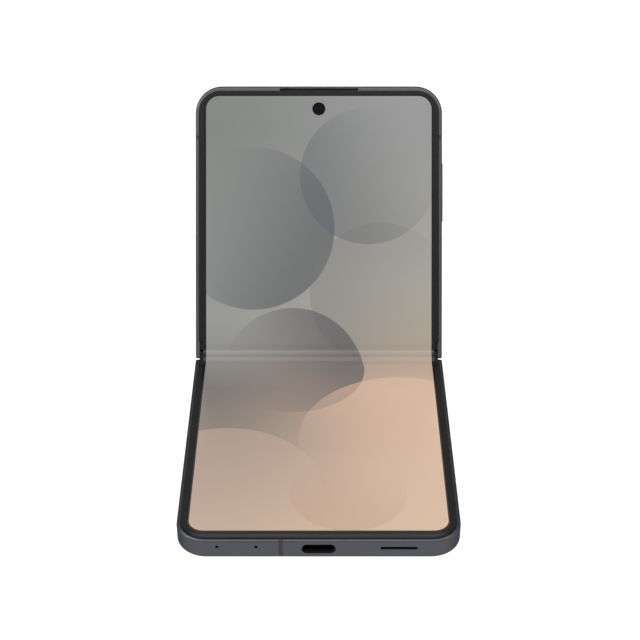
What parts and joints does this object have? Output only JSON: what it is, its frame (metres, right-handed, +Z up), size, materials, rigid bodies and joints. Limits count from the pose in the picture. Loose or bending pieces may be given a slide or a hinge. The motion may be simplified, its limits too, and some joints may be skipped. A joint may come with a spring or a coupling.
{
  "type": "foldable smartphone",
  "caption": "Clamshell foldable smartphone with a folding inner screen, geared hinge spine, side keys, card tray and outer screen, half open and resting on its lower half.",
  "frame": {"origin": "centre of the lower half's back face, which is the face that the phone rests on", "axes": "+X across the body towards the side with the keys, +Y from the charging port towards the hinge, +Z up"},
  "size_m": [0.0755, 0.1325, 0.0756],
  "materials": {
    "frame_metal": "fine bead-blasted dark graphite anodising",
    "antenna_plastic": "matte, flush with the metal",
    "back_glass": "frosted dark graphite glass, opaque from a coat behind it",
    "cover_glass": "polished black glass over the outer screen",
    "battery_pouch": "black film over a foil pouch",
    "circuit_board": "green solder mask",
    "plated_steel": "stamped, lightly brushed",
    "steel_plate": "etched spring steel",
    "screw_steel": "machined",
    "gear_metal": "sintered",
    "coil_copper": "copper winding",
    "black_plastic": "fine moulded texture",
    "bezel_plastic": "soft touch, slightly glossy edge",
    "mesh_black": "woven acoustic mesh",
    "display_film": "glossy polymer film over a lit panel",
    "lens_black": "coated lens glass",
    "lens_ring_metal": "turned and polished edge",
    "flash_diffuser": "frosted lens over a yellow emitter",
    "key_metal": "satin dark graphite",
    "flex_copper": "amber film over copper",
    "microphone_metal": "gold plated can"
  },
  "bodies": {
    "lower_half": {"lower_frame": "frame_metal", "lower_antenna_breaks": "antenna_plastic", "lower_back_glass": "back_glass", "lower_battery": "battery_pouch", "sub_circuit_board": "circuit_board", "usb_c_shell": "plated_steel", "usb_c_tongue": "black_plastic", "speaker_module": "black_plastic", "speaker_mesh": "mesh_black", "microphones": "microphone_metal", "vibration_motor": "plated_steel", "charging_coil": "coil_copper", "lower_support_plate": "steel_plate", "lower_display_panel": "display_film", "lower_bezel": "bezel_plastic", "lower_hinge_wing": "steel_plate", "lower_wing_screws": "screw_steel", "sub_board_screws": "screw_steel"},
    "hinge_spine": {"hinge_spine_cover": "frame_metal", "hinge_brackets": "steel_plate", "hinge_bracket_screws": "screw_steel", "hinge_end_caps": "black_plastic", "display_fold_section": "display_film", "hinge_flex_cables": "flex_copper"},
    "sync_gear_1": {"sync_gear_1": "gear_metal"},
    "sync_gear_2": {"sync_gear_2": "gear_metal"},
    "sync_gear_3": {"sync_gear_3": "gear_metal"},
    "sync_gear_4": {"sync_gear_4": "gear_metal"},
    "upper_half": {"upper_frame": "frame_metal", "upper_antenna_breaks": "antenna_plastic", "upper_cover_glass": "cover_glass", "cover_display_panel": "lens_black", "main_circuit_board": "circuit_board", "shield_cans": "plated_steel", "upper_battery": "battery_pouch", "wide_camera_module": "black_plastic", "ultrawide_camera_module": "black_plastic", "camera_lens_rings": "lens_ring_metal", "camera_lens_glasses": "lens_black", "flash_lens": "flash_diffuser", "selfie_camera": "lens_black", "earpiece_receiver": "black_plastic", "earpiece_mesh": "mesh_black", "key_switches": "plated_steel", "sim_reader": "plated_steel", "main_board_screws": "screw_steel", "upper_support_plate": "steel_plate", "upper_display_panel": "display_film", "upper_bezel": "bezel_plastic", "upper_hinge_wing": "steel_plate", "upper_wing_screws": "screw_steel"},
    "volume_key": {"volume_key": "key_metal"},
    "power_key": {"power_key": "key_metal"},
    "sim_tray": {"sim_tray": "key_metal"}
  },
  "joints": [
    {"name": "lower_fold", "type": "hinge", "parent": "lower_half", "child": "hinge_spine", "pos_m": [0, 0.03977, 0.00495], "axis": [1, 0, 0], "range_deg": [-28.7, 61.3], "deforming": ["display_fold_section", "hinge_flex_cables"]},
    {"name": "upper_fold", "type": "hinge", "parent": "hinge_spine", "child": "upper_half", "pos_m": [0, 0.04311, 0.00677], "axis": [1, 0, 0], "range_deg": [-28.7, 61.3]},
    {"name": "gear_1_spin", "type": "hinge", "parent": "hinge_spine", "child": "sync_gear_1", "pos_m": [0, 0.04098, 0.00265], "axis": [1, 0, 0], "range_deg": [-86.1, 183.9]},
    {"name": "gear_2_spin", "type": "hinge", "parent": "hinge_spine", "child": "sync_gear_2", "pos_m": [0, 0.04212, 0.00327], "axis": [1, 0, 0], "range_deg": [-183.9, 86.1]},
    {"name": "gear_3_spin", "type": "hinge", "parent": "hinge_spine", "child": "sync_gear_3", "pos_m": [0, 0.04326, 0.00389], "axis": [1, 0, 0], "range_deg": [-86.1, 183.9]},
    {"name": "gear_4_spin", "type": "hinge", "parent": "hinge_spine", "child": "sync_gear_4", "pos_m": [0, 0.0444, 0.00452], "axis": [1, 0, 0], "range_deg": [-183.9, 86.1]},
    {"name": "volume_rock", "type": "hinge", "parent": "upper_half", "child": "volume_key", "pos_m": [0.03687, 0.07126, 0.04717], "axis": [0, -0.8425, 0.5388], "range_deg": [-0.9, 0.9], "stiffness_Nm_per_rad": 2},
    {"name": "power_press", "type": "slide", "parent": "upper_half", "child": "power_key", "axis": [-1, 0, 0], "range_m": [0, 0.00015], "stiffness_N_per_m": 2000},
    {"name": "sim_slide", "type": "slide", "parent": "upper_half", "child": "sim_tray", "axis": [-1, 0, 0], "range_m": [0, 0.018]}
  ],
  "couplings": [
    {"joint": "upper_fold", "follows": "lower_fold", "ratio": 1},
    {"joint": "gear_1_spin", "follows": "lower_fold", "ratio": 3},
    {"joint": "gear_2_spin", "follows": "lower_fold", "ratio": -3},
    {"joint": "gear_3_spin", "follows": "lower_fold", "ratio": 3},
    {"joint": "gear_4_spin", "follows": "lower_fold", "ratio": -3}
  ]
}
